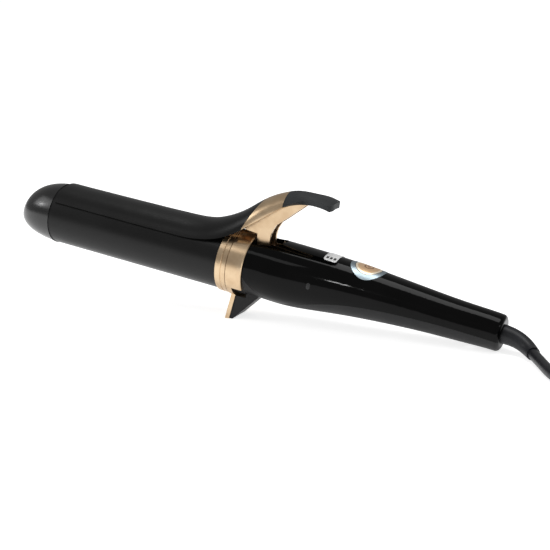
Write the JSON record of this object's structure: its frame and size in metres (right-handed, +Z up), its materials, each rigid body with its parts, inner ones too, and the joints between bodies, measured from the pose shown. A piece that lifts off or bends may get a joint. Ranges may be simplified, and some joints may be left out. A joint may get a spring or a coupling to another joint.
{
  "type": "curling iron",
  "caption": "Hair curling iron with a black 38 mm barrel, hinged spring clamp with thumb rest, gold collar, round power button, stand foot and coiled lead with plug.",
  "frame": {"origin": "middle of the stand foot's flat, on the table", "axes": "+X from the collar to the tail and the lead, +Y away from the side with the pilot lamp, +Z up"},
  "size_m": [0.45, 0.0979, 0.0818],
  "materials": {
    "barrel_coating": "satin",
    "gold_plating": "satin",
    "soft_touch_plastic": "matt, soft-touch",
    "gloss_plastic": "gloss",
    "tip_plastic": "semi-gloss",
    "matt_plastic": "matt",
    "button_metal": "satin",
    "ring_metal": "polished",
    "label_film": "printed film",
    "lamp_lens": "translucent",
    "steel": "bright",
    "heater_aluminium": "as extruded",
    "ceramic": "fired",
    "brass_strip": "stamped",
    "film": "film",
    "board": "laminate",
    "component_black": "moulded",
    "component_yellow": "dipped",
    "wire_sleeve": "sleeve",
    "heat_plastic": "glass-filled",
    "cord_jacket": "satin",
    "tie": "moulded"
  },
  "bodies": {
    "iron": {"barrel_tube": "barrel_coating", "tip_cap": "tip_plastic", "heater_block_upper": "heater_aluminium", "heater_block_lower": "heater_aluminium", "ceramic_heater_tiles": "ceramic", "electrode_upper": "brass_strip", "electrode_lower": "brass_strip", "insulating_film": "film", "thermal_fuse": "component_black", "temperature_sensor": "component_black", "barrel_bush": "heat_plastic", "collar_front_ring": "gold_plating", "collar_band": "gold_plating", "handle_upper_shell": "gloss_plastic", "handle_lower_shell": "matt_plastic", "hinge_bracket": "gold_plating", "hinge_bracket_screws": "steel", "hinge_pin": "steel", "hinge_pin_clip": "steel", "clamp_spring": "steel", "button_ring": "ring_metal", "power_switch": "component_black", "rating_label": "label_film", "pilot_lens": "lamp_lens", "pilot_led": "lamp_lens", "circuit_board": "board", "film_capacitor": "component_yellow", "power_triac": "component_black", "control_chip": "component_black", "supply_wires": "wire_sleeve", "heater_wires": "wire_sleeve", "case_screws": "steel", "strain_relief": "cord_jacket", "cord_to_coil": "cord_jacket", "cord_to_plug": "cord_jacket", "cord_tie": "tie", "cord_coil": "cord_jacket", "plug_body": "cord_jacket", "plug_pins": "brass_strip", "plug_pin_sleeves": "component_black"},
    "clamp": {"clamp_plate": "barrel_coating", "lever_body": "gold_plating", "thumb_rest": "soft_touch_plastic", "clamp_plate_screws": "steel", "thumb_rest_screw": "steel"},
    "button": {"power_button": "button_metal", "switch_plunger": "component_black"}
  },
  "joints": [
    {"name": "clamp_hinge", "type": "hinge", "parent": "iron", "child": "clamp", "pos_m": [0.0218, 0, 0.04341], "axis": [0, 1, 0], "range_deg": [0, 25], "stiffness_Nm_per_rad": 0.4, "springref_deg": -34.38, "deforming": ["clamp_spring"]},
    {"name": "power_button_press", "type": "slide", "parent": "iron", "child": "button", "axis": [-0.1444, 0, -0.9895], "range_m": [0, 0.0006], "stiffness_N_per_m": 800}
  ]
}
